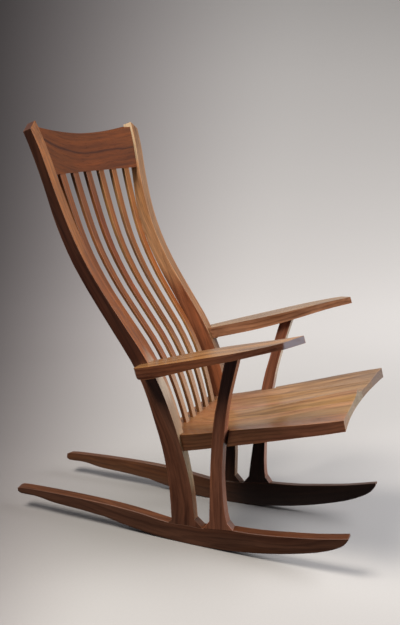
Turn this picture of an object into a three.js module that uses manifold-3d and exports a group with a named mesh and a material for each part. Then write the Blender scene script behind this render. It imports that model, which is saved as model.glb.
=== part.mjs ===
// A walnut rocking chair: two splayed side frames, a dished seat, a slatted back and two arms.
//
// Millimetres, +Z up. The chair faces -Y and is symmetric about X = 0. Pieces of the sitter's right side
// (-X) are drawn and then mirrored for the left. While the pieces are drawn, Y = 0 is the front of the front
// leg's foot and Z = 0 is the floor; at the end the chair is moved so that the origin lies under its middle.
// Touching pieces keep a joint gap, and loose tenons sit in mortises hidden inside the joints.

import * as THREE from 'three';
import { mergeVertices } from 'three/addons/utils/BufferGeometryUtils.js';
import Module from 'manifold-3d';

const wasm = await Module();
wasm.setup();

// Driving dimensions
const HEIGHT = 1100; // floor to the tops of the back posts
const GAP = 0.3; // left between touching faces
const BOARD = 25; // thickness of the rockers, the front legs and the posts' feet
const SPLAY = 0.151; // outward lean of the rockers and feet, per unit of height
const TOE = 0.026; // the rockers come together towards the rear by this much per unit of length
const HALF_TRACK = 156.3; // from the middle to a rocker's outer face at the front leg, on the floor

const TOE_TIP = -301; // front end of the rockers
const TAIL_TIP = 674; // rear end of the rockers
const ROCK_RADIUS = 1120; // curve of the rockers' soles
const REST_Y = 132; // where the rockers touch the floor at rest, below the chair's centre of mass
const REST_FLAT = 20; // half the length of the flat worn on each sole there
const TOE_END = -250; // where the long curve of the sole gives way to the toe
const TAIL_START = 400; // and to the thin tail

// Shallow notch in a rocker's top, where the feet of the leg and the post stand side by side
const NOTCH_FRONT = 0;
const NOTCH_MIDDLE = 86; // where the two feet meet
const NOTCH_REAR = 190;
const NOTCH_FRONT_HEIGHT = 70.5; // of the outer edge of the rocker's top at those places
const NOTCH_MIDDLE_HEIGHT = 58.5;
const NOTCH_REAR_HEIGHT = 55;

const LEG_SPLAY = 0.1385; // outward lean of the front legs, per unit of height
const LEG_HALF_TRACK = 157.5; // from the middle to a leg's outer face, at floor level
// Heights where the curved edges of the uprights turn into the straight flares of their feet
const LEG_FLARE_FRONT = 89;
const LEG_FLARE_REAR = 84;
const POST_FLARE_FRONT = 80;
const POST_FLARE_REAR = 66;
const BLANK_BOTTOM = 50; // where the uprights' blanks start, inside the rockers
const POST_TOP_FALL = 0.346; // slope of the posts' square tops towards the rear
// A place on the cut across a post's outer top corner, and how far that cut leans from level
const POST_CORNER_X = 272;
const POST_CORNER_Z = 1091;
const POST_CORNER_LEAN = 0.62;

const SEAT_FRONT = -289;
const SEAT_REAR = 200;
const SEAT_RAKE = 6; // how far the lower edge of the seat's front stands ahead of the upper one
const SEAT_HALF_WIDTH = 230; // at the front corners
const SEAT_BOW = 18; // how far the middle of the front edge is set back from the corners
const POMMEL_HEIGHT = 9.5; // of the crisp ridge between the two front hollows, above the corners
const POMMEL_HALF_WIDTH = 19;
const POMMEL_END = -90; // where the ridge has died out
const SEAT_BOARDS = 5;
const BOARD_PITCH = 92; // width of the inner seat boards
const SLOT = 8; // open slot left in the seat's notch ahead of each front leg

const ARM_TIP = -192;
const ARM_REAR = 238;
const ARM_BEVEL = -156; // where the bevel across the arm's front outer corner starts
const ARM_LEVEL = 569; // height of the arm's top at Y = 0
const ARM_SLOPE = 0.287; // fall of the arm's top towards the rear
const ARM_BEVEL_TURN = 0.838; // of the bevel across the arm, seen from above
const ARM_BEVEL_TILT = 0.28; // of the bevel away from upright

const CREST_BOTTOM = 969;
const CREST_TOP = 1086; // at the ends
const CREST_DIP = 18; // how far the top edge dips in the middle
const CREST_BOW = 12; // how far the middle of the crest bows to the rear
const CREST_SETBACK = 6; // from the posts' front faces to the crest's, at its ends
const CREST_THICK = 26;
const CREST_HALF = 246;

const SLATS = 6;
const SLAT_THICK = 10;
const SLAT_SETBACK = 3; // from the crest's front face to the slats'
const SLAT_BOTTOM = 292; // hidden in the seat
const SLAT_TOP = 990; // hidden in the crest
const SLAT_FOOT = 313; // height at which the slats meet the seat
const SLAT_HEAD = 955; // and a height just below the crest
const SLAT_PITCH_FOOT = 46; // spacing and width of the slats at those two heights
const SLAT_PITCH_HEAD = 69;
const SLAT_WIDTH_FOOT = 20;
const SLAT_WIDTH_HEAD = 28;

const PAST = 60; // how far a cutter reaches beyond the wood that it takes away

// Curves and small helpers

/** A smooth function through [at, value] points given in rising order. */
function through(points) {
  const last = points.length - 1;
  const slope = (i) => {
    const [x0, y0] = points[Math.max(i - 1, 0)];
    const [x1, y1] = points[Math.min(i + 1, last)];
    return (y1 - y0) / (x1 - x0);
  };
  return (at) => {
    let i = 0;
    while (i < last - 1 && at > points[i + 1][0]) i += 1;
    const [x0, y0] = points[i];
    const [x1, y1] = points[i + 1];
    const span = x1 - x0;
    const t = THREE.MathUtils.clamp((at - x0) / span, 0, 1);
    const a = slope(i) * span - (y1 - y0);
    const b = y1 - y0 - slope(i + 1) * span;
    return y0 + (y1 - y0) * t + t * (1 - t) * ((1 - t) * a + t * b);
  };
}

/** Evenly spaced numbers from the first to the last, both included. */
function steps(from, to, count) {
  return Array.from({ length: count + 1 }, (_, i) => from + ((to - from) * i) / count);
}

const mix = THREE.MathUtils.lerp;

/** 1 at the middle of a width and 0 at its ends, along a parabola. */
const bow = (x, half) => 1 - (x / half) ** 2;

/** A closed three.js geometry as a solid that can be cut and joined. */
function solid(geometry) {
  geometry.deleteAttribute('normal');
  geometry.deleteAttribute('uv');
  const merged = mergeVertices(geometry, 1e-3);
  return new wasm.Manifold(new wasm.Mesh({
    numProp: 3,
    vertProperties: Float32Array.from(merged.attributes.position.array),
    triVerts: Uint32Array.from(merged.index.array),
  }));
}

/**
 * A solid made from a box grid: place(u, v, w) gives the place of each grid corner. u and v run through
 * the given lists and w is 0 or 1. Growing u, v and w make a right-handed set, which keeps faces outward.
 */
function block(us, vs, place) {
  const grid = new THREE.BoxGeometry(1, 1, 1, us.length - 1, vs.length - 1, 1);
  const corners = grid.attributes.position;
  for (let i = 0; i < corners.count; i += 1) {
    const u = us[Math.round((corners.getX(i) + 0.5) * (us.length - 1))];
    const v = vs[Math.round((corners.getY(i) + 0.5) * (vs.length - 1))];
    const w = Math.round(corners.getZ(i) + 0.5);
    corners.setXYZ(i, ...place(u, v, w));
  }
  return solid(grid);
}

/** The triangles of a solid as a three.js geometry, mirrored in X if asked. */
function geometryOf(body, mirror = false) {
  const mesh = body.getMesh();
  const geometry = new THREE.BufferGeometry();
  const places = Float32Array.from(mesh.vertProperties);
  const triangles = Uint32Array.from(mesh.triVerts);
  if (mirror) {
    for (let i = 0; i < places.length; i += 3) places[i] = -places[i];
    triangles.reverse();
  }
  geometry.setAttribute('position', new THREE.BufferAttribute(places, 3));
  geometry.setIndex(new THREE.BufferAttribute(triangles, 1));
  return geometry;
}

const mirrored = (body) => solid(geometryOf(body, true));

/** A solid cut by every one of a list of others. */
const cutBy = (body, cutters) => cutters.reduce((rest, cutter) => rest.subtract(cutter), body);

/** A rectangular block with its centre at a place, turned about X and then about Y. */
function brick(size, place, turnX = 0, turnY = 0) {
  const box = new THREE.BoxGeometry(...size);
  box.rotateX(turnX);
  box.rotateY(turnY);
  box.translate(...place);
  return solid(box);
}

// Rockers

const rockerOuter = (y, z) => HALF_TRACK - TOE * y + SPLAY * z;

const toeCurve = through([[TOE_TIP, 112], [-292, 97], [-277, 84], [TOE_END, 69]]);
const tailCurve = through([
  [TAIL_START, 28], [425, 32], [460, 34.5], [540, 38.5], [562, 40.5], [590, 45.5], [617, 48.5],
  [TAIL_TIP - 10, 48], [TAIL_TIP, 53],
]);

/** Height of the sole of a rocker: toe, long arc, then the thin tail. */
function soleAt(y) {
  const sag = (distance) => ROCK_RADIUS - Math.sqrt(ROCK_RADIUS ** 2 - distance ** 2);
  if (y <= TOE_END) return toeCurve(y);
  if (y >= TAIL_START) return tailCurve(y);
  return Math.max(sag(y - REST_Y) - sag(REST_FLAT), 0);
}

const frontTop = through([
  [TOE_TIP, 116], [-221, 98], [-148, 86], [-72, 75.5], [NOTCH_FRONT, NOTCH_FRONT_HEIGHT],
]);
const rearTop = through([
  [NOTCH_REAR, NOTCH_REAR_HEIGHT], [220, 58.5], [270, 65], [330, 69.5], [400, 72], [500, 72.5], [600, 70.5],
  [TAIL_TIP - 12, 67.5], [TAIL_TIP, 63],
]);

/** Height of the outer edge of a rocker's top. */
function topAt(y) {
  if (y <= NOTCH_FRONT) return frontTop(y);
  if (y >= NOTCH_REAR) return rearTop(y);
  if (y <= NOTCH_MIDDLE) {
    return mix(NOTCH_FRONT_HEIGHT, NOTCH_MIDDLE_HEIGHT, (y - NOTCH_FRONT) / (NOTCH_MIDDLE - NOTCH_FRONT));
  }
  return mix(NOTCH_MIDDLE_HEIGHT, NOTCH_REAR_HEIGHT, (y - NOTCH_MIDDLE) / (NOTCH_REAR - NOTCH_MIDDLE));
}

/** A rocker. The clearances above it and beside it serve to cut the feet that stand on it. */
function rocker(above = 0, beside = 0) {
  const ys = [
    ...steps(TOE_TIP, TOE_END, 8), ...steps(TOE_END + 30, REST_Y - 3 * REST_FLAT, 10),
    NOTCH_FRONT, NOTCH_MIDDLE, REST_Y - REST_FLAT, REST_Y + REST_FLAT, NOTCH_REAR,
    ...steps(REST_Y + 5 * REST_FLAT, 540, 10),
    ...steps(558, TAIL_TIP - 10, 7), TAIL_TIP - 4, TAIL_TIP,
  ].sort((a, b) => a - b);
  return block([-beside, BOARD + beside], ys, (inward, y, up) => {
    const z = up ? topAt(y) + SPLAY * inward + above : soleAt(y);
    return [inward - rockerOuter(y, z), y, z];
  });
}

/** An upright's edge: its curve, and below the flare a straight line to the end of the foot. */
function flared(curve, flare, foot, footHeight, z) {
  return z < flare ? mix(foot, curve(flare), Math.max(z - footHeight, 0) / (flare - footHeight)) : curve(z);
}

// Back posts

const POST_BLANK_TOP = HEIGHT + 12; // before the top is cut square

const postFront = through([
  [80, 109], [181, 114], [276, 132], [365, 155], [450, 185], [525, 224], [600, 275], [682, 331], [761, 377],
  [840, 412], [938, 443], [1034, 468], [POST_BLANK_TOP, 495],
]);
const postRear = through([
  [66, 176], [150, 176], [220, 181], [287, 191], [344, 205], [399, 219], [452, 236], [508, 263], [595, 318],
  [681, 373], [762, 417], [856, 452], [944, 472], [1037, 496], [POST_BLANK_TOP, 521],
]);
const postOuter = through([
  [BLANK_BOTTOM, 161.6], [79, 165.3], [300, 192], [525, 215], [700, 228], [850, 243], [960, 260],
  [1072, 281], [POST_BLANK_TOP, 289],
]);
const postWidth = through([
  [BLANK_BOTTOM, BOARD], [200, BOARD], [300, 34], [520, 35], [POST_BLANK_TOP, 36],
]);

/** Front and rear of a post at a height. */
const postEdges = (z) => [
  flared(postFront, POST_FLARE_FRONT, NOTCH_MIDDLE + GAP / 2, NOTCH_MIDDLE_HEIGHT, z),
  flared(postRear, POST_FLARE_REAR, NOTCH_REAR, NOTCH_REAR_HEIGHT, z),
];

/** A back post, grown by clearances where it cuts its neighbours. */
function postBlank({ front = 0, rear = 0, outside = 0, inside = 0 } = {}) {
  const zs = [
    BLANK_BOTTOM, NOTCH_MIDDLE_HEIGHT, POST_FLARE_REAR, POST_FLARE_FRONT, ...steps(110, POST_BLANK_TOP, 30),
  ];
  return block([0, 1], zs, (across, z, forward) => {
    const [yFront, yRear] = postEdges(z);
    const y = forward ? yFront - front : yRear + rear;
    const outer = postOuter(z) - TOE * (y - yFront);
    return [mix(-outer - outside, postWidth(z) - outer + inside, across), y, z];
  });
}

/** The blank with a square top, its outer top corner cut off and its foot fitted to the rocker. */
function post() {
  const fall = -Math.atan(POST_TOP_FALL);
  const size = [2 * PAST, 2 * PAST, 2 * PAST];
  const rear = postFront(HEIGHT);
  const square = brick(
    size,
    [-postOuter(HEIGHT), rear - PAST * Math.sin(fall), HEIGHT + PAST * Math.cos(fall)],
    fall,
  );
  const corner = brick(
    size,
    [
      -POST_CORNER_X - PAST * Math.sin(POST_CORNER_LEAN),
      rear,
      POST_CORNER_Z + PAST * Math.cos(POST_CORNER_LEAN),
    ],
    fall,
    -POST_CORNER_LEAN,
  );
  return cutBy(postBlank(), [square, corner, rocker(GAP, BOARD)]);
}

// Front legs

const legFront = through([
  [89, 16], [110, 20], [150, 23], [215, 24], [260, 21], [310, 16], [360, 9.5], [407, 3], [454, -7],
  [499, -19], [543, -31], [600, -47],
]);
const legRear = through([
  [84, 66], [130, 63], [186, 58.5], [249, 54], [299, 49], [347, 43], [391, 36], [433, 26], [492, 13],
  [533, 3], [600, -15],
]);
const legOuter = (y, z) => LEG_HALF_TRACK + LEG_SPLAY * z - TOE * y;

/** Front and rear of a front leg at a height. */
const legEdges = (z) => [
  flared(legFront, LEG_FLARE_FRONT, NOTCH_FRONT, NOTCH_FRONT_HEIGHT, z),
  flared(legRear, LEG_FLARE_REAR, NOTCH_MIDDLE - GAP / 2, NOTCH_MIDDLE_HEIGHT, z),
];

/** A front leg from the rocker to inside the arm, grown by clearances where it cuts the seat. */
function legBlank({ front = 0, rear = 0, beside = 0 } = {}) {
  const zs = [
    BLANK_BOTTOM, NOTCH_MIDDLE_HEIGHT, NOTCH_FRONT_HEIGHT, LEG_FLARE_REAR, LEG_FLARE_FRONT,
    ...steps(110, 570, 16),
  ];
  return block([-beside, BOARD + beside], zs, (inward, z, forward) => {
    const [yFront, yRear] = legEdges(z);
    const y = forward ? yFront - front : yRear + rear;
    return [inward - legOuter(y, z), y, z];
  });
}

const leg = () => cutBy(legBlank(), [rocker(GAP, BOARD), armBlank(GAP)]);

// Arms

const armInner = through([
  [ARM_TIP, 237], [-148, 232], [-103, 220], [-56, 207], [-6, 193], [42, 185], [89, 182], [134, 184],
  [ARM_REAR, 190],
]);
const armOuter = through([
  [ARM_TIP, 249], [-182, 261], [-170, 273], [ARM_BEVEL, 283], [-122, 295], [-83, 300], [-45, 301], [-2, 297],
  [42, 290], [88, 284], [135, 276], [186, 265], [222, 257], [232, 253], [ARM_REAR, 245],
]);
const armInnerThick = through([[ARM_TIP, 17], [-120, 19], [-45, 24], [42, 28], [150, 30], [ARM_REAR, 30]]);
const armOuterThick = through([
  [ARM_TIP, 16], [-122, 14], [-45, 16], [42, 19], [120, 25], [190, 30], [228, 28], [ARM_REAR, 20],
]);

const armTop = (y) => ARM_LEVEL - ARM_SLOPE * y;

/** An arm before its joints are cut, with ends and edges square to its sloping top. */
function armBlank(below = 0) {
  const ys = [ARM_TIP, -182, -170, ARM_BEVEL, ...steps(-140, 220, 18), 228, 232, 235, ARM_REAR];
  return block(steps(0, 1, 3), ys, (inward, y, up) => {
    const x = -mix(armOuter(y), armInner(y), inward);
    const depth = up ? 0 : mix(armOuterThick(y), armInnerThick(y), inward) + below;
    return [x, y - ARM_SLOPE * depth, armTop(y) - depth];
  });
}

/** The blank with the long bevel across its front outer corner, starting as a point at the top edge. */
function arm() {
  const box = new THREE.BoxGeometry(2 * PAST, 4 * PAST, 4 * PAST);
  box.translate(-PAST, 0, 0);
  box.rotateY(ARM_BEVEL_TILT);
  box.rotateZ(ARM_BEVEL_TURN);
  box.translate(-armOuter(ARM_BEVEL), ARM_BEVEL, armTop(ARM_BEVEL));
  return armBlank().subtract(solid(box));
}

// Seat

const seatSide = through([
  [SEAT_FRONT - SEAT_RAKE, SEAT_HALF_WIDTH], [-235, 229], [-171, 221], [-106, 209], [-39, 199], [0, 193.5],
  [60, 188], [137, 182], [SEAT_REAR, 178],
]);
const seatRim = through([
  [SEAT_FRONT, 432], [-150, 393.8], [0, 353], [100, 326], [150, 315.5], [SEAT_REAR, 310],
]);
const seatUnder = through([
  [SEAT_FRONT - SEAT_RAKE, 406], [-240, 389], [-185, 372], [-120, 350], [-62, 331], [0, 312], [134, 274],
  [SEAT_REAR, 262],
]);
const dishDepth = through([[SEAT_FRONT, 10], [-150, 13], [-20, 16], [90, 12], [160, 2.5], [SEAT_REAR, 0]]);

/** Depth of the dish below the seat's rim: a hollow either side of the pommel, one hollow at the rear. */
function dishAt(x, y) {
  const across = Math.min(Math.abs(x) / seatSide(y), 1);
  const rearward = THREE.MathUtils.smoothstep(y, -180, 110);
  const twoHollows = Math.sin(Math.PI * across ** 0.8) ** 1.3;
  const oneHollow = Math.cos((Math.PI / 2) * across ** 2) ** 2;
  return dishDepth(y) * mix(twoHollows, oneHollow, rearward);
}

/** Height of the pommel's ridge, which dies out towards the rear. */
function pommelAt(x, y) {
  const fade = 1 - THREE.MathUtils.smoothstep(y, SEAT_FRONT + SEAT_BOW, POMMEL_END);
  return POMMEL_HEIGHT * fade * Math.max(1 - Math.abs(x) / POMMEL_HALF_WIDTH, 0) ** 1.5;
}

/** One of the boards that the seat is glued up from, counted from the sitter's right. */
function seatBoard(index) {
  const joint = (i) => (i - SEAT_BOARDS / 2) * BOARD_PITCH;
  const edge = (i, y) => {
    if (i === 0) return -seatSide(y);
    if (i === SEAT_BOARDS) return seatSide(y);
    return joint(i) + (i > index ? -GAP / 2 : GAP / 2);
  };
  return block(steps(0, 1, 10), steps(0, 1, 26), (across, along, up) => {
    const nominal = mix(edge(index, SEAT_FRONT), edge(index + 1, SEAT_FRONT), across);
    const front = SEAT_FRONT + SEAT_BOW * bow(nominal, SEAT_HALF_WIDTH) - (up ? 0 : SEAT_RAKE);
    const y = mix(front, SEAT_REAR, along);
    const x = mix(edge(index, y), edge(index + 1, y), across);
    return [x, y, up ? seatRim(y) - dishAt(x, y) + pommelAt(x, y) : seatUnder(y)];
  });
}

// Crest rail and slats

const backBow = through([[SLAT_BOTTOM, 0], [SLAT_FOOT, 0], [SLAT_HEAD, CREST_BOW], [CREST_TOP, CREST_BOW]]);

/** The crest rail, a board bowed to the rear with a dipping top edge. */
function crest() {
  return block(steps(-1, 1, 18), steps(0, 1, 6), (across, rise, forward) => {
    const z = mix(CREST_BOTTOM, CREST_TOP - CREST_DIP * bow(across, 1), rise);
    const x = across * (postOuter(z) - postWidth(z) + 2);
    const front = postFront(z) + CREST_SETBACK + CREST_BOW * bow(x, CREST_HALF);
    return [x, forward ? front : front + CREST_THICK, z];
  });
}

const slatRise = (z) => (z - SLAT_FOOT) / (SLAT_HEAD - SLAT_FOOT);
const slatPitch = (z) => mix(SLAT_PITCH_FOOT, SLAT_PITCH_HEAD, slatRise(z));
const slatWidth = (z) => mix(SLAT_WIDTH_FOOT, SLAT_WIDTH_HEAD, slatRise(z));
const slatBack = through([
  [SLAT_BOTTOM, 27], [500, 24], [650, 23], [750, 18], [860, 11], [SLAT_HEAD, CREST_SETBACK + SLAT_SETBACK],
  [SLAT_TOP, CREST_SETBACK + SLAT_SETBACK],
]);

/** A back slat, counted from the sitter's right, let into the seat below and the crest above. */
function slat(index, clear = 0) {
  const zs = [SLAT_BOTTOM - clear, ...steps(SLAT_FOOT, SLAT_HEAD, 20), SLAT_TOP + clear];
  const place = index - (SLATS - 1) / 2;
  return block([-1, 1], zs, (across, z, forward) => {
    const middle = place * slatPitch(z);
    const front = postFront(z) + slatBack(z) + backBow(z) * bow(middle, CREST_HALF);
    const y = forward ? front - clear : front + SLAT_THICK + clear;
    return [middle + across * (slatWidth(z) / 2 + clear), y, z];
  });
}

// Loose tenons of the right side: name, size in X, Y and Z, centre, turn about X and about Y

const lean = Math.atan(SPLAY);
const crestLean = Math.atan((postFront(CREST_TOP) - postFront(CREST_BOTTOM)) / (CREST_TOP - CREST_BOTTOM));
const TENONS = {
  front_foot_tenon: [[9, 26, 34], [BOARD / 2 - rockerOuter(42, 64), 42, 64], 0, -lean],
  rear_foot_tenon: [[9, 40, 34], [BOARD / 2 - rockerOuter(140, 58), 140, 58], 0, -lean],
  leg_to_arm_tenon: [
    [9, 18, 28], [BOARD / 2 - legOuter(-12, 546), -14, 543], Math.atan(0.3), -Math.atan(LEG_SPLAY),
  ],
  arm_to_post_tenon: [[9, 40, 12], [-199, 207, 488], Math.atan(ARM_SLOPE), 0],
  seat_to_leg_tenon: [[26, 16, 12], [-180, 30, 326], -Math.atan(0.28), 0],
  seat_to_post_tenon: [[30, 26, 12], [-157, 164, 286], -Math.atan(0.2), 0],
  crest_tenon: [[30, 9, 60], [-231, 484, 1027], -crestLean, 0],
};

const tenon = (name, clear = 0) => {
  const [size, place, turnX, turnY] = TENONS[name];
  return brick(size.map((length) => length + 2 * clear), place, turnX, turnY);
};
const mortises = (...names) => names.map((name) => tenon(name, GAP));
const bothSides = (bodies) => bodies.flatMap((body) => [body, mirrored(body)]);

// Materials: oiled walnut, a little different from piece to piece

const wood = (color, roughness = 0.48) => new THREE.MeshStandardMaterial({ color, roughness, metalness: 0 });
const frameWood = wood('#6e4129');
const postWood = wood('#84512f');
const armWood = wood('#8f5a35');
const crestWood = wood('#7a4a30');
const slatWood = wood('#93603a');
const seatWoods = ['#96633c', '#a47246', '#9a6a43', '#a2703f', '#8d5c38'].map((color) => wood(color, 0.42));
const tenonWood = wood('#a67c52', 0.7);

// The chair

const chair = new THREE.Group();

function add(name, body, material, mirror = false) {
  const mesh = new THREE.Mesh(geometryOf(body, mirror), material);
  mesh.name = name;
  chair.add(mesh);
}

/** A piece of the sitter's right side and its mirror image on the left. */
function addPair(name, body, material) {
  add(`${name}_right`, body, material);
  add(`${name}_left`, body, material, true);
}

addPair('rocker', cutBy(rocker(), mortises('front_foot_tenon', 'rear_foot_tenon')), frameWood);
addPair(
  'front_leg',
  cutBy(leg(), mortises('front_foot_tenon', 'leg_to_arm_tenon', 'seat_to_leg_tenon')),
  frameWood,
);
addPair(
  'back_post',
  cutBy(post(), mortises('rear_foot_tenon', 'arm_to_post_tenon', 'seat_to_post_tenon', 'crest_tenon')),
  postWood,
);
addPair(
  'arm',
  cutBy(arm(), [
    postBlank({ front: GAP, rear: PAST, outside: GAP, inside: PAST }),
    ...mortises('leg_to_arm_tenon', 'arm_to_post_tenon'),
  ]),
  armWood,
);

const slatMortises = Array.from({ length: SLATS }, (_, i) => slat(i, GAP));
const seatNotches = bothSides([
  legBlank({ front: SLOT, rear: GAP, beside: GAP }),
  postBlank({ front: GAP, rear: PAST, outside: PAST, inside: GAP }),
  ...mortises('seat_to_leg_tenon', 'seat_to_post_tenon'),
]);
for (let i = 0; i < SEAT_BOARDS; i += 1) {
  add(`seat_board_${i + 1}`, cutBy(seatBoard(i), [...seatNotches, ...slatMortises]), seatWoods[i]);
}

const crestCutters = bothSides([postBlank({ inside: GAP, outside: PAST }), ...mortises('crest_tenon')]);
add('crest_rail', cutBy(crest(), [...crestCutters, ...slatMortises]), crestWood);
for (let i = 0; i < SLATS; i += 1) add(`back_slat_${i + 1}`, slat(i), slatWood);

for (const name of Object.keys(TENONS)) addPair(name, tenon(name), tenonWood);

chair.position.y = -(TOE_TIP + TAIL_TIP) / 2;

export default chair;
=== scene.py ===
# A walnut rocking chair on a pale studio floor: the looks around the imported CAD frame.
#
# Metres, in the row frame: +Z up, the chair faces -Y, and the floor is Z = 0.

import math

import bpy
import numpy as np
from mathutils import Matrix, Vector

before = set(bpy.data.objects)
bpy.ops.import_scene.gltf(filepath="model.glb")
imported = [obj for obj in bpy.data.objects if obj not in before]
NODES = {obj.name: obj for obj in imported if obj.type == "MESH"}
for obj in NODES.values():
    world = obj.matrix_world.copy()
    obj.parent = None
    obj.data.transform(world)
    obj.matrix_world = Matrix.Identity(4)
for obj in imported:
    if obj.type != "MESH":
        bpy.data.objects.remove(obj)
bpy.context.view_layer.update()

# Edges

ARRIS = 0.0018  # width of the softened edges
BOARD_ARRIS = 0.0005  # the same on the seat's boards, which are glued up flush
SHARP = math.radians(28)  # edges sharper than this are softened
ARM_SHARP = math.radians(15)  # the same on the arms, where the bevel at the tip turns by less
SAME_POINT = 0.00002  # corners nearer to each other than this are welded
SAME_FACE = math.radians(0.3)  # facets that differ by less than this are one face


def soften(node, width, sharp):
    """Welds a CAD node's faces together, rounds its sharp edges and smooths its shading."""
    mesh = node.data
    if "custom_normal" in mesh.attributes:
        mesh.attributes.remove(mesh.attributes["custom_normal"])
    mesh.shade_smooth()
    weld = node.modifiers.new("weld", "WELD")
    weld.merge_threshold = SAME_POINT
    plain = node.modifiers.new("plain", "DECIMATE")
    plain.decimate_type = "DISSOLVE"
    plain.angle_limit = SAME_FACE
    bevel = node.modifiers.new("arris", "BEVEL")
    bevel.width = width
    bevel.segments = 3
    bevel.limit_method = "ANGLE"
    bevel.angle_limit = sharp
    bevel.harden_normals = True
    bevel.use_clamp_overlap = True


# Material nodes


class Graph:
    """A material's node tree, with short calls for the nodes that wood and paper need."""

    def __init__(self, name):
        self.material = bpy.data.materials.new(name)
        self.material.use_nodes = True
        self.tree = self.material.node_tree
        self.tree.nodes.clear()

    def node(self, kind, inputs=(), **settings):
        made = self.tree.nodes.new("ShaderNode" + kind)
        for key, value in settings.items():
            setattr(made, key, value)
        for key, value in dict(inputs).items():
            self.feed(made.inputs[key], value)
        return made

    def feed(self, socket, value):
        if isinstance(value, bpy.types.NodeSocket):
            self.tree.links.new(value, socket)
        else:
            socket.default_value = value

    def math(self, operation, *terms):
        made = self.node("Math", operation=operation)
        for socket, value in zip(made.inputs, terms):
            self.feed(socket, value)
        return made.outputs[0]

    def scaled(self, value, factor, plus=0.0):
        return self.math("MULTIPLY_ADD", value, factor, plus)

    def product(self, first, *others):
        for other in others:
            first = self.math("MULTIPLY", first, other)
        return first

    def swing(self, noise, reach, middle=0.0):
        """A middle value, pushed to either side by noise."""
        return self.scaled(self.math("SUBTRACT", noise, 0.5), reach, middle)

    def combine(self, x, y, z):
        return self.node("CombineXYZ", {"X": x, "Y": y, "Z": z}).outputs[0]

    def measure(self, operation, a, b):
        """A number from two vectors: their dot product, or the distance between them."""
        made = self.node("VectorMath", operation=operation)
        self.feed(made.inputs[0], a)
        self.feed(made.inputs[1], b)
        return made.outputs["Value"]

    def along(self, vector, direction):
        """The length of a vector in a direction."""
        return self.measure("DOT_PRODUCT", vector, direction)

    def noise(self, at, scale=1.0, detail=3.0, rough=0.5, distortion=0.0):
        made = self.node(
            "TexNoise",
            {"Vector": at, "Scale": scale, "Detail": detail, "Roughness": rough, "Distortion": distortion},
        )
        return made.outputs["Fac"]

    def span(self, value, low, high, to_low=0.0, to_high=1.0):
        """A smooth step from to_low, where the value is low, to to_high, where it is high."""
        made = self.node(
            "MapRange",
            {"Value": value, "From Min": low, "From Max": high, "To Min": to_low, "To Max": to_high},
            interpolation_type="SMOOTHSTEP",
        )
        return made.outputs["Result"]

    def ramp(self, value, stops):
        made = self.node("ValToRGB", {"Fac": value})
        elements = made.color_ramp.elements
        while len(elements) < len(stops):
            elements.new(0.5)
        for element, (place, colour) in zip(elements, stops):
            element.position = place
            element.color = (*colour, 1)
        return made.outputs["Color"]

    def mix(self, share, a, b, blend="MIX"):
        made = self.node("Mix", data_type="RGBA", blend_type=blend)
        self.feed(made.inputs["Factor"], share)
        self.feed(made.inputs[6], a)
        self.feed(made.inputs[7], b if isinstance(b, bpy.types.NodeSocket) else (*b, 1))
        return made.outputs[2]

    def tint(self, colour, by):
        return self.mix(1.0, colour, by, "MULTIPLY")

    def polynomial(self, x, terms):
        """terms[0] + terms[1] x + terms[2] x^2 + ..."""
        value = terms[-1]
        for term in reversed(terms[:-1]):
            value = self.scaled(value, x, term)
        return value


def linear(red, green, blue):
    """A colour given as it looks, in 0 to 255, as linear light."""
    def one(value):
        share = value / 255
        return share / 12.92 if share <= 0.04045 else ((share + 0.055) / 1.055) ** 2.4
    return one(red), one(green), one(blue)


# Walnut

STATIONS = 15  # where the middle of a piece is found along it
STATION_POINTS = 4  # corners that a station needs

# Noise in the wood: its scale along the grain and across it, per metre, and a shift that sets it apart
WANDER = (5.0, 8.0, 3.0)  # of the whole figure
SWAY = (1.6, 7.0, 0.0)  # of the growth rings
UNEVEN = (5.0, 55.0, 0.0)  # in the rings' spacing, in stains and in wear
STREAKS = (2.4, 27.0, 7.0)
HUES = (1.8, 11.0, 31.0)
FINE_LINES = (11.0, 170.0, 13.0)
PORES = (26.0, 520.0, 0.0)

WANDER_REACH = 0.022  # how far the figure wanders across the board
SWAY_ACROSS, SWAY_THROUGH = 0.05, 0.03  # how far the rings' heart sways
TAPER = 0.012  # how much the rings widen per metre along the grain
RING_SLIP = 0.9  # how far unevenness moves a ring, in rings
LATE_WOOD, RING_END = 0.35, 0.93  # where a ring starts to darken and where it is darkest
PORE_NOISE = (0.56, 0.70)  # the noise that makes a pore: from, and fully
PORE_DEPTH, PORE_SHARE = 0.38, 0.35  # how strongly a pore shows, and its share of the middle tone
STREAK_DEPTH, FINE_DEPTH, MIDDLE = 1.9, 0.75, 0.52  # in the tone, about its middle
VEIN_WANDER, VEIN_DEPTH = 0.012, 0.45  # how far a vein wanders across, and how dark it is in the tone
DARK_SHARES, LIGHT_SHARE = (0.41, 0.34, 0.31), 1.75  # the darkest and lightest tones, of the middle one
DARK_AT, MIDDLE_AT, LIGHT_AT = 0.05, 0.5, 0.95  # their places in the tone
RED_HUES, GOLD_HUES = (0.36, 0.50), (0.52, 0.66)  # the noise that makes the wood redder, and golden
SIDE_FACING = (0.35, 0.85)  # how squarely a face looks in a side's direction: from, and fully
END_BLEND = 0.25  # how gradually the end grain begins
WEAR_RADIUS = 0.004  # how far from an edge wear reaches
WEAR_TURN, WEAR_NOISE = (0.995, 0.9), (0.35, 0.65)  # the turn of the edge and the noise that let it show
WEAR_DEPTH, WEAR_LIGHT = 0.3, 1.5  # how strongly it shows, and how much lighter it is
STREAK_ROUGH, PORE_ROUGH, WEAR_ROUGH, END_ROUGH = 0.2, 0.15, -0.08, 0.2  # what each adds to the roughness
PORE_HEIGHT, RING_HEIGHT, UNEVEN_HEIGHT = -0.6, 0.25, 0.35
BUMP, BUMP_REACH = 0.22, 0.0006
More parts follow.
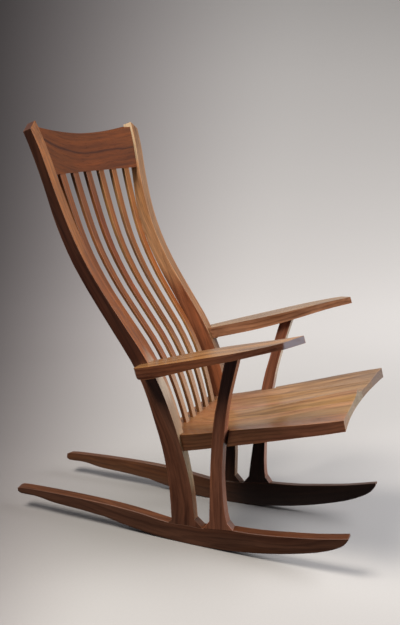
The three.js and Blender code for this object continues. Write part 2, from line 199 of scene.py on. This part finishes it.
PATCH_NOISE, PATCH_THIN = (0.2, 0.5), 0.75  # where unevenness thins a patch, and to what share
IOR = 1.5  # of the oil


def centre_lines(node, axes, order=4):
    """How the middle of a node moves across and through as one goes along it, as two polynomials."""
    places = np.array([v.co for v in NODES[node].data.vertices])
    along, *others = (places[:, "xyz".index(axis)] for axis in axes)
    stations = np.linspace(along.min(), along.max(), STATIONS)
    found = []
    for other in others:
        at, middle = [], []
        for low, high in zip(stations, stations[1:]):
            inside = (along >= low) & (along <= high)
            if inside.sum() >= STATION_POINTS:
                at.append(along[inside].mean())
                middle.append((other[inside].min() + other[inside].max()) / 2)
        found.append(np.polyfit(at, middle, min(order, len(at) - 1))[::-1].tolist())
    return found


def walnut(node, base, axes, seed, heart=(0.03, 0.06), bands=95.0, rings=0.3, roughness=0.38, gloss=0.5,
           contrast=1.0, red=(1.05, 0.93, 0.84), gold=(1.09, 1.01, 0.83), sides=(), patches=(),
           end=(0.55, 0.55, 0.6), end_from=0.70, bend=(0.0,), veins=()):
    """
    Oiled walnut for a node.

    base is its middle tone, and axes names the row axes along the grain, across the board and through it.
    heart is how far the middle of the growth rings lies from the board, across and through it. bands is how
    many rings there are to a metre, and rings is how dark they are drawn. contrast is the figure's, and red
    and gold are the tints of the board's redder and golden parts.

    sides lists (direction, tint) for faces that look in a direction: partly wood cut paler or darker, partly
    painted light and shade on that face; or (direction, tint, tint lower down, height where that ends,
    height where the first begins). patches lists (what patch returns, colour), laid over the rest: sapwood,
    painted light and painted shade. end is the tint of the end grain, on faces that look along the grain by
    more than end_from; on some seat boards it carries a painted grey sheen too. bend is how the figure runs
    across the board as one goes along it, as a polynomial. veins lists (place across the board, half width)
    of dark lines along the grain.
    """
    g = Graph(node + "_wood")
    middle = linear(*base)
    place = g.node("TexCoord").outputs["Object"]
    normal = g.node("NewGeometry").outputs["Normal"]
    row = dict(zip("xyz", g.node("SeparateXYZ", {"Vector": place}).outputs))
    lines = centre_lines(node, axes)
    along = row[axes[0]]
    across = g.math("SUBTRACT", row[axes[1]], g.polynomial(along, lines[0]))
    across = g.math("SUBTRACT", across, g.polynomial(along, bend))
    through = g.math("SUBTRACT", row[axes[2]], g.polynomial(along, lines[1]))

    def grain_noise(across, lengthwise, crosswise, shift, **settings):
        at = g.combine(g.scaled(along, lengthwise, seed + shift), g.math("MULTIPLY", across, crosswise),
                       g.math("MULTIPLY", through, crosswise))
        return g.noise(at, **settings)

    across = g.swing(grain_noise(across, *WANDER, detail=2.0), WANDER_REACH, across)

    # Growth rings: circles round a heart beside the board, pushed about along the grain
    sway = grain_noise(across, *SWAY, detail=2.0)
    u = g.swing(sway, SWAY_ACROSS, g.math("ADD", across, heart[0]))
    w = g.swing(sway, SWAY_THROUGH, g.math("ADD", through, heart[1]))
    radius = g.math("SQRT", g.math("ADD", g.math("MULTIPLY", u, u), g.math("MULTIPLY", w, w)))
    radius = g.scaled(along, TAPER, radius)
    uneven = grain_noise(across, *UNEVEN, detail=4.0, rough=0.6)
    saw = g.math("FRACT", g.scaled(radius, bands, g.math("MULTIPLY", uneven, RING_SLIP)))
    ring = g.product(g.span(saw, LATE_WOOD, RING_END), g.span(saw, 1.0, RING_END))

    # Broad streaks of colour, a slow change of hue, fine lines, and pores as short dark lines
    streak = grain_noise(across, *STREAKS, detail=5.0, rough=0.64, distortion=0.5)
    hue = grain_noise(across, *HUES, detail=2.0)
    fine = grain_noise(across, *FINE_LINES, detail=3.0, rough=0.65)
    pores = g.span(grain_noise(across, *PORES, detail=2.0), *PORE_NOISE)
    tone = g.swing(streak, STREAK_DEPTH * contrast, MIDDLE)
    tone = g.swing(fine, FINE_DEPTH * contrast, tone)
    tone = g.scaled(ring, -rings * contrast, tone)
    for place_across, half_width in veins:
        wavy = g.scaled(uneven, VEIN_WANDER, -VEIN_WANDER / 2 - place_across)
        off = g.math("ABSOLUTE", g.math("ADD", wavy, across))
        tone = g.scaled(g.span(off, half_width, 0.0), -VEIN_DEPTH, tone)
    dark = [c * share for c, share in zip(middle, DARK_SHARES)]
    light = [c * LIGHT_SHARE for c in middle]
    colour = g.ramp(tone, [(DARK_AT, dark), (MIDDLE_AT, middle), (LIGHT_AT, light)])
    colour = g.mix(g.span(hue, *RED_HUES), g.tint(colour, red), colour)
    colour = g.mix(g.span(hue, *GOLD_HUES), colour, g.tint(colour, gold))

    # What differs from face to face: the cut of the wood together with painted light and shade by face, its
    # patches of sapwood, painted light and painted shade, and the end grain
    for direction, tint, *low in sides:
        facing = g.span(g.along(normal, direction), *SIDE_FACING)
        tinted = g.tint(colour, tint)
        if low:
            low_tint, low_to, high_from = low
            tinted = g.mix(g.span(row["z"], low_to, high_from), g.tint(colour, low_tint), tinted)
        colour = g.mix(facing, colour, tinted)
    for where, tint in patches:
        colour = g.mix(where(g, row, normal, uneven, streak), colour, tint)
    lengthwise = g.along(normal, [float(axis == axes[0]) for axis in "xyz"])
    ended = g.span(g.math("ABSOLUTE", lengthwise), end_from, end_from + END_BLEND)
    colour = g.mix(ended, colour, g.tint(g.mix(0.5, colour, middle), end))
    colour = g.mix(g.math("MULTIPLY", pores, PORE_DEPTH), colour, [c * PORE_SHARE for c in middle])

    # Handled edges are a little paler and smoother
    bevelled = g.node("Bevel", {"Radius": WEAR_RADIUS}, samples=4).outputs[0]
    worn = g.product(g.span(g.along(bevelled, normal), *WEAR_TURN), g.span(uneven, *WEAR_NOISE))
    paler = [min(c * WEAR_LIGHT, 1) for c in light]
    colour = g.mix(g.math("MULTIPLY", worn, WEAR_DEPTH), colour, paler)

    rough = roughness - STREAK_ROUGH / 2
    for what, more in ((streak, STREAK_ROUGH), (pores, PORE_ROUGH), (worn, WEAR_ROUGH), (ended, END_ROUGH)):
        rough = g.scaled(what, more, rough)
    height = g.scaled(ring, RING_HEIGHT, g.math("MULTIPLY", uneven, UNEVEN_HEIGHT))
    height = g.scaled(pores, PORE_HEIGHT, height)
    bump = g.node("Bump", {"Height": height, "Strength": BUMP, "Distance": BUMP_REACH})
    shader = g.node(
        "BsdfPrincipled",
        {"Base Color": colour, "Roughness": rough, "Normal": bump.outputs[0],
         "IOR": IOR, "Specular IOR Level": gloss},
    )
    g.node("OutputMaterial", {"Surface": shader.outputs[0]})
    return g.material


def patch(direction, low, high, share=1.0, blur=0.05, ragged=0.2, axis="z", facing=(0.45, 0.75)):
    """
    A patch on the faces that look in a direction, between two places on an axis. share is how strongly it
    shows, and blur and ragged are how softly and how unevenly it ends. facing is how squarely a face looks
    in the direction where the patch starts to show, and where it shows fully.
    """
    def where(g, row, normal, uneven, streak):
        at = g.swing(streak, ragged, row[axis])
        between = g.product(g.span(at, low - blur, low + blur), g.span(at, high + blur, high - blur))
        looking = g.span(g.along(normal, direction), *facing)
        return g.product(between, looking, g.span(uneven, *PATCH_NOISE, PATCH_THIN * share, share))
    return where


# The wood of each piece

UP, FRONT = (0.0, 0.0, 1.0), (0.0, -1.0, 0.0)
RIGHT, LEFT = (-1.0, 0.0, 0.0), (1.0, 0.0, 0.0)
PALE = linear(204, 184, 160)  # sapwood
PAINTED_SEAT_SHADOW = linear(40, 24, 17)  # painted shadow of the seat, low on the inner sides and on the rockers' inner faces in front of the legs
SEAT_TONES = {
    "1": (163, 113, 69), "2": (156, 120, 81), "3": (152, 118, 80), "4": (149, 116, 83), "5": (147, 119, 96),
}
SLAT_TONES = {
    "1": (122, 66, 24), "2": (120, 66, 27), "3": (119, 65, 25), "4": (128, 74, 29), "5": (134, 80, 37),
    "6": (146, 90, 38),
}


def seat_wood(name, seed):
    # The board sides' tint is painted shade, the patch over the dished middle of the top painted shade, and
    # the bluish end tint of boards 1 to 3 a painted grey sheen on the front end grain
    shade = (0.61, 0.56, 0.72)
    end = (0.64, 0.66, 0.76) if name[-1] in "45" else (0.82, 1.05, 1.5)
    painted_dish_shade = patch(UP, -0.13, 0.1, share=0.55, blur=0.12, ragged=0.3, axis="y")
    return walnut(name, SEAT_TONES[name[-1]], "yxz", seed, heart=(0.02, 0.09), roughness=0.31,
                  contrast=0.75, red=(1.03, 0.93, 1.06), gold=(1.1, 0.99, 0.8),
                  sides=[(RIGHT, shade), (LEFT, shade)], patches=[(painted_dish_shade, linear(150, 88, 46))], end=end)


def slat_wood(name, seed):
    # The side faces' bluish tint is painted light
    foot = patch(FRONT, 0.2, 0.46, share=0.85, blur=0.09)
    return walnut(name, SLAT_TONES[name[-1]], "zyx", seed, rings=0.2, gloss=0.35, contrast=0.95,
                  red=(1.08, 0.86, 0.74), gold=(1.16, 1.1, 0.8), sides=[(RIGHT, (1.5, 2.3, 4.6))],
                  patches=[(foot, linear(182, 148, 118))])


def crest_wood(name, seed):
    return walnut(name, (98, 50, 17), "xzy", seed, heart=(-1.0, 0.1), bands=70.0, rings=0.16, roughness=0.5,
                  gloss=0.2, contrast=0.75, red=(1.04, 0.94, 0.8), bend=(0.0, 0.0, 0.32, -1.07),
                  veins=[(-0.002, 0.004)])


def arm_wood(name, seed, outer, inner):
    # The top's tint is a painted sheen, stronger on the far left arm; the outer face's tint is painted shade
    # and the inner face's painted light
    base, painted_top_sheen = (141, 96, 64), (1.24, 1.46, 1.37)
    if name.endswith("left"):
        base, painted_top_sheen = (146, 100, 67), (1.33, 1.7, 1.65)
    # A painted grey sheen of the front light on the bevel at the tip
    towards_bevel = (outer[0] * 0.67, -0.74, 0.0)
    bevel = patch(towards_bevel, -0.5, -0.345, share=0.95, blur=0.003, ragged=0.0, axis="y",
                  facing=(0.8, 0.9))
    return walnut(name, base, "yxz", seed, roughness=0.24, contrast=0.85, red=(1.0, 0.96, 0.93),
                  sides=[(outer, (0.62, 0.51, 0.62)), (inner, (1.32, 1.44, 1.8)), (UP, painted_top_sheen)],
                  patches=[(bevel, linear(142, 133, 140))])


def post_wood(name, seed, outer, inner):
    if name.endswith("right"):
        # Painted shade and light by face: the outer face darker over the arm and lighter low down, the front
        # darker low down. The front's patches are pale sapwood, painted lighter still under the seat where
        # the seat shades it.
        sides = [(outer, (0.24, 0.2, 0.29), (0.78, 0.79, 1.2), 0.46, 0.52), (inner, (1.55, 1.65, 1.8)),
                 (FRONT, (1.03, 0.84, 0.4), (0.78, 0.54, 0.26), 0.68, 0.84)]
        patches = [(patch(FRONT, 0.39, 0.50, share=0.97, blur=0.05, ragged=0.1), PALE),
                   (patch(FRONT, 0.31, 0.39, share=0.9, blur=0.03, ragged=0.1), linear(172, 146, 120)),
                   (patch(FRONT, 0.17, 0.31, share=0.85, blur=0.03, ragged=0.08), linear(236, 206, 160)),
                   (patch(FRONT, 0.0, 0.17, share=0.85, blur=0.03, ragged=0.08), linear(176, 130, 94))]
    else:
        # Painted light lifts the inner face over the arm, and the front face; the inner face is a little
        # darker lower down
        sides = [(outer, (0.44, 0.42, 0.6)), (inner, (2.1, 2.6, 3.3), (0.95, 0.82, 0.96), 0.60, 0.70),
                 (FRONT, (1.19, 1.5, 1.85))]
        patches = [(patch(inner, 0.99, 1.2, blur=0.01, ragged=0.0), linear(192, 166, 130))]
    # Painted shadow of the seat, low on the inner face
    patches.append((patch(inner, 0.0, 0.28, share=0.9, blur=0.02, ragged=0.03), PAINTED_SEAT_SHADOW))
    return walnut(name, (140, 92, 56), "zyx", seed, rings=0.2, contrast=0.95, sides=sides, patches=patches,
                  end=(0.2, 0.09, 0.06), end_from=0.55)


def leg_wood(name, seed, inner):
    patches = [(patch(FRONT, 0.36, 0.7), PALE)] if name.endswith("left") else []
    flare = (0.0, -0.75, 0.66)  # where the flare at the foot looks
    # Painted light on the front face under the seat, and painted shadow of the seat low on the inner face;
    # the inner and front faces' tints are painted shade
    patches += [(patch(FRONT, 0.12, 0.35, share=0.75, blur=0.03, ragged=0.05), linear(178, 125, 101)),
                (patch(flare, 0.0, 0.11, share=0.9, blur=0.01, ragged=0.0, facing=(0.86, 0.94)),
                 linear(108, 74, 60)),
                (patch(inner, 0.0, 0.3, share=0.95, blur=0.02, ragged=0.03), PAINTED_SEAT_SHADOW)]
    return walnut(name, (155, 99, 74), "zyx", seed, contrast=0.75,
                  sides=[(inner, (0.66, 0.65, 0.63)), (FRONT, (0.81, 0.8, 0.8))], patches=patches)


def rocker_wood(name, seed, inner):
    base = (113, 74, 54) if name.endswith("right") else (106, 71, 50)
    # Painted shadow of the seat on the inner face in front of the legs; the inner and top faces' tints are
    # painted shade too
    shaded = patch(inner, -0.6, -0.06, share=0.8, blur=0.08, ragged=0.03, axis="y")
    return walnut(name, base, "yzx", seed, roughness=0.42, contrast=0.7,
                  sides=[(inner, (0.66, 0.6, 0.5)), (UP, (0.69, 0.57, 0.4))], patches=[(shaded, PAINTED_SEAT_SHADOW)])


def wood_of(name, seed):
    """The walnut of one node of the frame."""
    outer, inner = (RIGHT, LEFT) if name.endswith("right") else (LEFT, RIGHT)
    if "tenon" in name:
        return walnut(name, (166, 124, 82), "zyx", seed, roughness=0.65)
    if name.startswith("seat_board"):
        return seat_wood(name, seed)
    if name.startswith("back_slat"):
        return slat_wood(name, seed)
    if name == "crest_rail":
        return crest_wood(name, seed)
    if name.startswith("arm"):
        return arm_wood(name, seed, outer, inner)
    if name.startswith("back_post"):
        return post_wood(name, seed, outer, inner)
    if name.startswith("front_leg"):
        return leg_wood(name, seed, inner)
    return rocker_wood(name, seed, inner)


seed = 3.0  # where a node's wood is cut from the noise
SEED_STEP = 4.7  # from one node to the next
for name in sorted(NODES):
    seed += SEED_STEP
    mesh = NODES[name].data
    mesh.materials.clear()
    mesh.materials.append(wood_of(name, seed))
    soften(NODES[name], BOARD_ARRIS if name.startswith("seat_board") else ARRIS,
           ARM_SHARP if name in ("arm_left", "arm_right") else SHARP)

# Studio

ASIDE = (-0.385, 0.923, 0.0)  # towards the dim side of the studio, on the chair's right and behind it
AHEAD = (0.923, 0.385, 0.0)  # level, square to that
AIM = (0.0, 0.0, 0.4)  # what the lamps point at

# Where painted light and shade change the paper's colour: (from, to), or (from, to, share at from, share at
# to)
BRIGHT_AHEAD = (0.5, 2.6, 0.50, 0.99)  # brighter with distance
# The dim side's start and darkest line: how they move towards ASIDE per metre AHEAD, and where they begin
DIM_START, DIM_END = (-0.2, 0.1), (0.22, 1.0)
DIM_NEAR = -1.0  # both stay as they are nearer than this
DIM_AHEAD = (-2.4, -0.6, 0.4, 1.0)
DIM_DEPTH = 0.93
BEYOND_SLOPE, BEYOND, BEYOND_DEPTH = -0.24, (0.55, 1.6), 0.65  # less dim again, further towards ASIDE
LIT_ASIDE = ((-0.05, -0.5), (-1.6, -0.7))  # a brighter pool on the other side
LIT_AHEAD = ((1.3, 0.2), (-0.6, -0.2))
LIT_DEPTH = 0.2
UNDER = (0.02, 0.12, 0.0)  # the middle of the shade under the seat
UNDER_REACH, UNDER_DEPTH = (0.52, 0.1), 0.25
WALL_TOP = (1.4, 2.3, 1.0, 0.9)
FIBRE_SCALE, FIBRE_DEPTH, FIBRE_BASE = 180.0, 0.06, 0.97
GREEN, BLUE = (-0.07, 0.975), (-0.03, 0.955)  # shares of red: the change where it is dim, and elsewhere


def paper_with_painted_light():
    """Pale paper with the studio's light painted into its colour: it dims towards one side, brightens with
    distance, and takes a painted shade under the seat.
    """
    g = Graph("studio_paper_with_painted_light")
    place = g.node("TexCoord").outputs["Object"]
    aside, ahead = g.along(place, ASIDE), g.along(place, AHEAD)
    reach = g.math("MAXIMUM", ahead, DIM_NEAR)
    dim = g.span(aside, g.scaled(reach, *DIM_START), g.scaled(reach, *DIM_END))
    beyond = g.span(g.scaled(ahead, BEYOND_SLOPE, aside), *BEYOND)
    dim = g.product(dim, g.span(ahead, *DIM_AHEAD), g.scaled(beyond, -BEYOND_DEPTH, 1.0))
    lit = [g.span(aside, *ends) for ends in LIT_ASIDE] + [g.span(ahead, *ends) for ends in LIT_AHEAD]
    under = g.span(g.measure("DISTANCE", place, UNDER), *UNDER_REACH)
    fibres = g.noise(place, scale=FIBRE_SCALE, detail=2.0)
    bright = g.product(
        g.span(ahead, *BRIGHT_AHEAD),
        g.scaled(g.product(*lit), LIT_DEPTH, 1.0),
        g.scaled(under, -UNDER_DEPTH, 1.0),
        g.span(g.along(place, UP), *WALL_TOP),
        g.scaled(dim, -DIM_DEPTH, 1.0),
        g.scaled(fibres, FIBRE_DEPTH, FIBRE_BASE),
    )
    colour = g.combine(bright, *(g.product(bright, g.scaled(dim, *share)) for share in (GREEN, BLUE)))
    shader = g.node("BsdfPrincipled", {"Base Color": colour, "Roughness": 0.9})
    g.node("OutputMaterial", {"Surface": shader.outputs[0]})
    return g.material


def studio_half(name, side, paper, radius=2.0, fillet=3.2, height=5.5, around=48, steps=12):
    """Half of a round pale floor that curves up into a wall: the side is -1 or 1 in X."""
    profile = [(radius * i / steps, 0.0) for i in range(1, steps + 1)]
    for i in range(1, steps + 1):
        turn = math.pi / 2 * i / steps
        profile.append((radius + fillet * math.sin(turn), fillet * (1 - math.cos(turn))))
    profile.append((radius + fillet, height))
    points, faces = [(0.0, 0.0, 0.0)], []
    for reach, rise in profile:
        for k in range(around + 1):
            turn = math.pi * (k / around - 0.5)
            points.append((side * reach * math.cos(turn), reach * math.sin(turn), rise))
    row = around + 1
    for k in range(around):
        faces.append((0, 1 + k, 2 + k)[::side])
        for ring in range(len(profile) - 1):
            a, b = 1 + ring * row + k, 1 + (ring + 1) * row + k
            faces.append((a, b, b + 1, a + 1)[::side])
    mesh = bpy.data.meshes.new(name)
    mesh.from_pydata(points, [], faces)
    mesh.shade_smooth()
    mesh.materials.append(paper)
    half = bpy.data.objects.new(name, mesh)
    bpy.context.scene.collection.objects.link(half)
    half.visible_diffuse = False  # the studio is dark but for its lamps, so its paper throws no light back
    return half


def softbox(name, direction, distance, size, power, colour):
    """A square studio light, aimed at the chair from a direction."""
    lamp = bpy.data.lights.new(name, "AREA")
    lamp.shape = "SQUARE"
    lamp.size = size
    lamp.energy = power
    lamp.color = colour
    made = bpy.data.objects.new(name, lamp)
    way = Vector(direction).normalized()
    made.location = Vector(AIM) + way * distance
    made.rotation_mode = "QUATERNION"
    made.rotation_quaternion = way.to_track_quat("Z", "Y")
    bpy.context.scene.collection.objects.link(made)


paper = paper_with_painted_light()
studio_half("studio_left", 1, paper)
# The right half of the studio is hidden from reflections, so that side of the studio isn't mirrored in the
# wood
studio_half("studio_right", -1, paper).visible_glossy = False
softbox("key", (-0.44, 0.28, 0.85), distance=3.6, size=1.5, power=150, colour=(1.0, 0.94, 0.86))
softbox("front", (0.25, -0.85, 0.6), distance=3.4, size=3.0, power=132, colour=(0.985, 0.98, 1.0))

world = bpy.data.worlds.new("room")
bpy.context.scene.world = world
world.use_nodes = True
background = world.node_tree.nodes["Background"].inputs
background["Color"].default_value = (0.8, 0.85, 1.0, 1)
background["Strength"].default_value = 0.05

# Camera

SENSOR_WIDTH, LENS = 36, 47.62  # in millimetres
EYE = (-2.0016, -0.8606, 1.0823)
HEADING, PITCH = math.radians(22.66), math.radians(12.583)  # to the left of +X, and down

camera = bpy.data.cameras.new("camera")
camera.sensor_width = SENSOR_WIDTH
camera.lens = LENS
view = bpy.data.objects.new("camera", camera)
view.location = EYE
level = math.cos(PITCH)
looking = Vector((math.cos(HEADING) * level, math.sin(HEADING) * level, -math.sin(PITCH)))
view.rotation_mode = "QUATERNION"
view.rotation_quaternion = looking.to_track_quat("-Z", "Y")
bpy.context.scene.collection.objects.link(view)
bpy.context.scene.camera = view
bpy.context.scene.view_settings.view_transform = "Standard"
